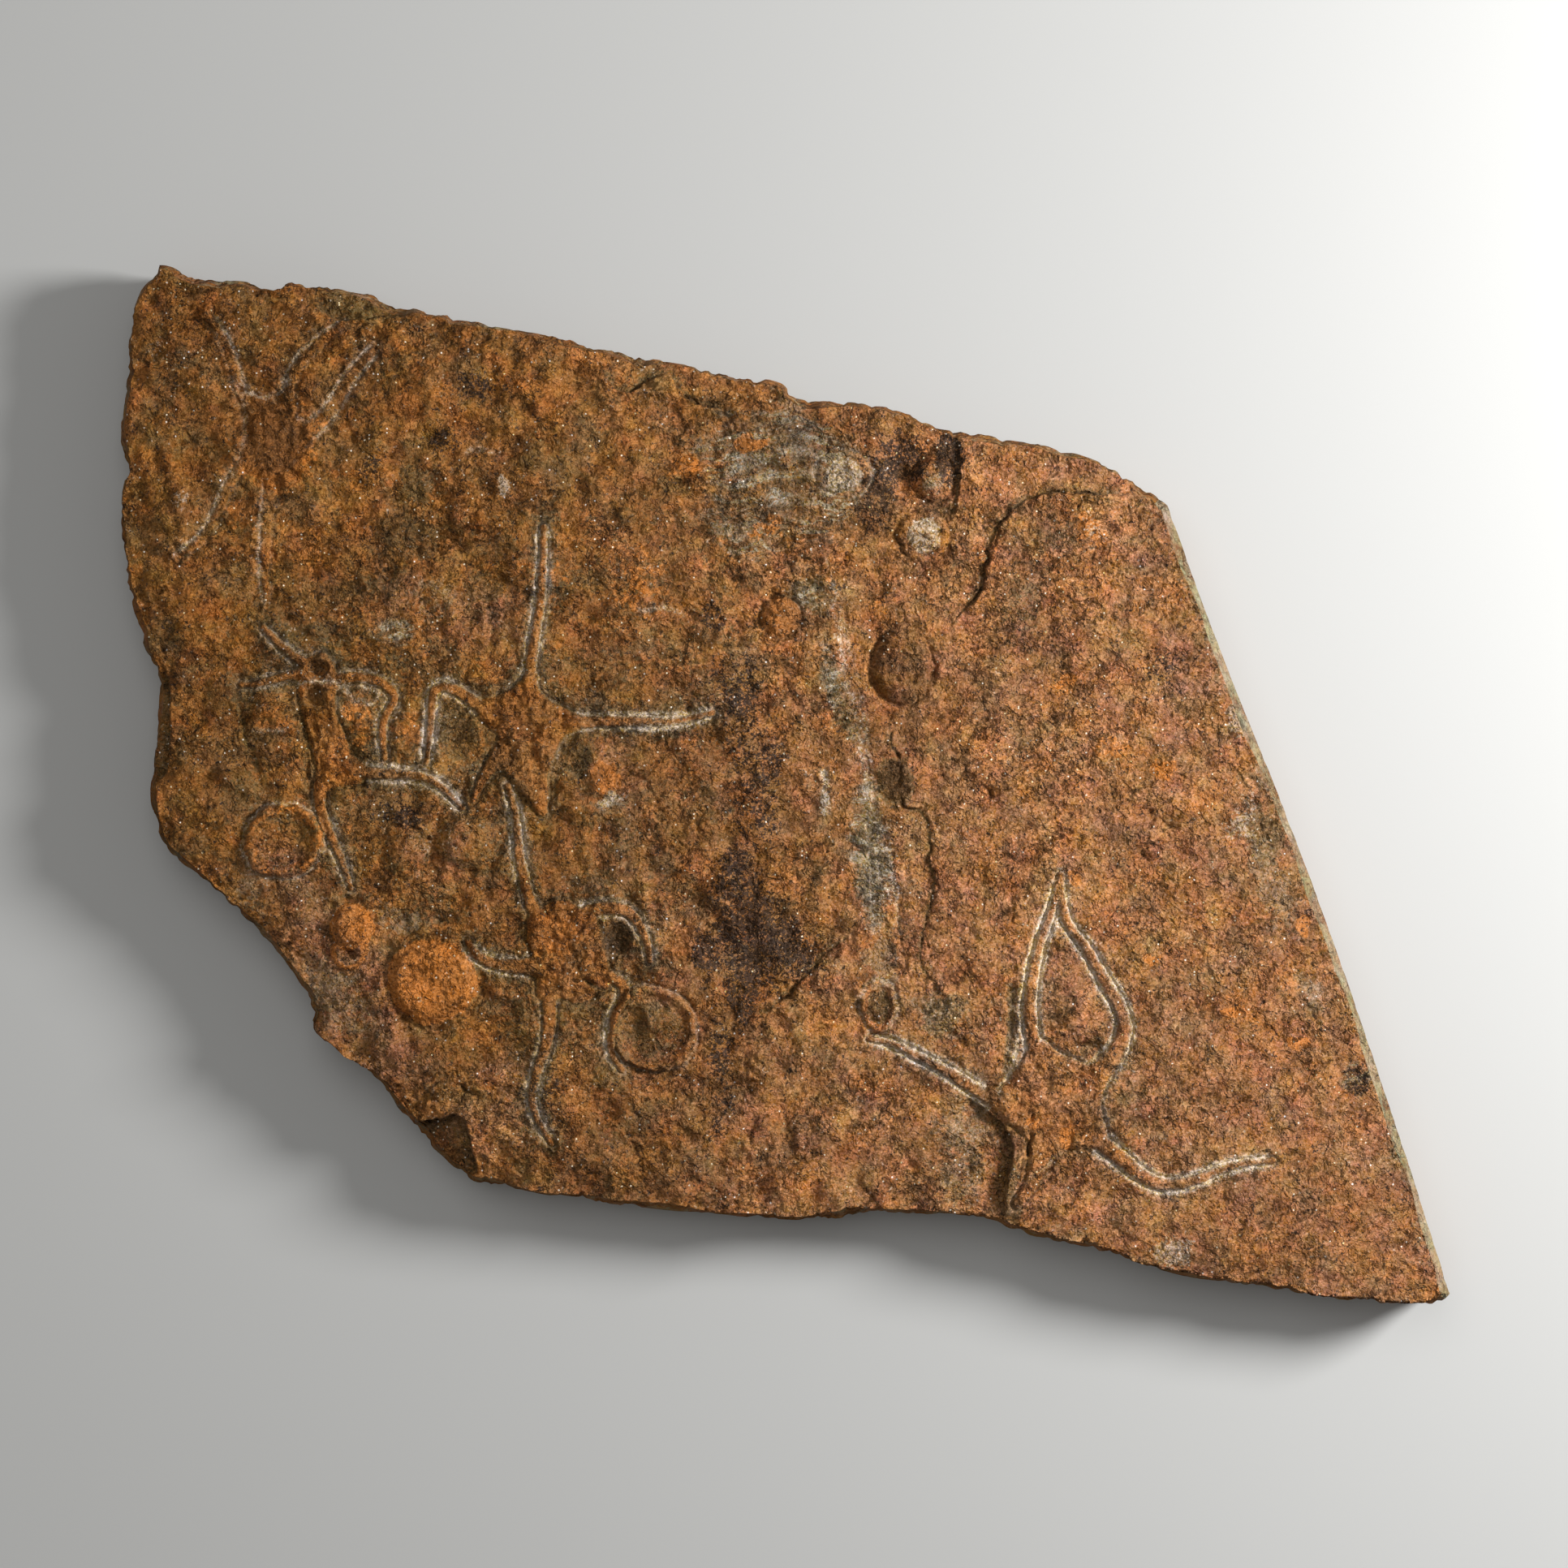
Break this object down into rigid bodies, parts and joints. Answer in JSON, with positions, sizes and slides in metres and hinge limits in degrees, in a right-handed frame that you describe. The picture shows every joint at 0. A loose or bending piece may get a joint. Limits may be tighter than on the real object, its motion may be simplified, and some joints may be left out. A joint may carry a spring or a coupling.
{
  "type": "brittle star fossil plate",
  "caption": "Slab of rusty sandstone with brittle stars and round fossil discs in low relief on its face, flat sawn on the back.",
  "frame": {"origin": "centre of the slab's footprint on its flat sawn back", "axes": "+X along the slab's long side, towards the sawn edge; +Y across it, towards the long top edge; +Z out of the fossil face"},
  "size_m": [0.2965, 0.2324, 0.0199],
  "materials": {
    "rusty_sandstone": "rough"
  },
  "bodies": {
    "root": {"fossil_plate": "rusty_sandstone"}
  },
  "joints": []
}
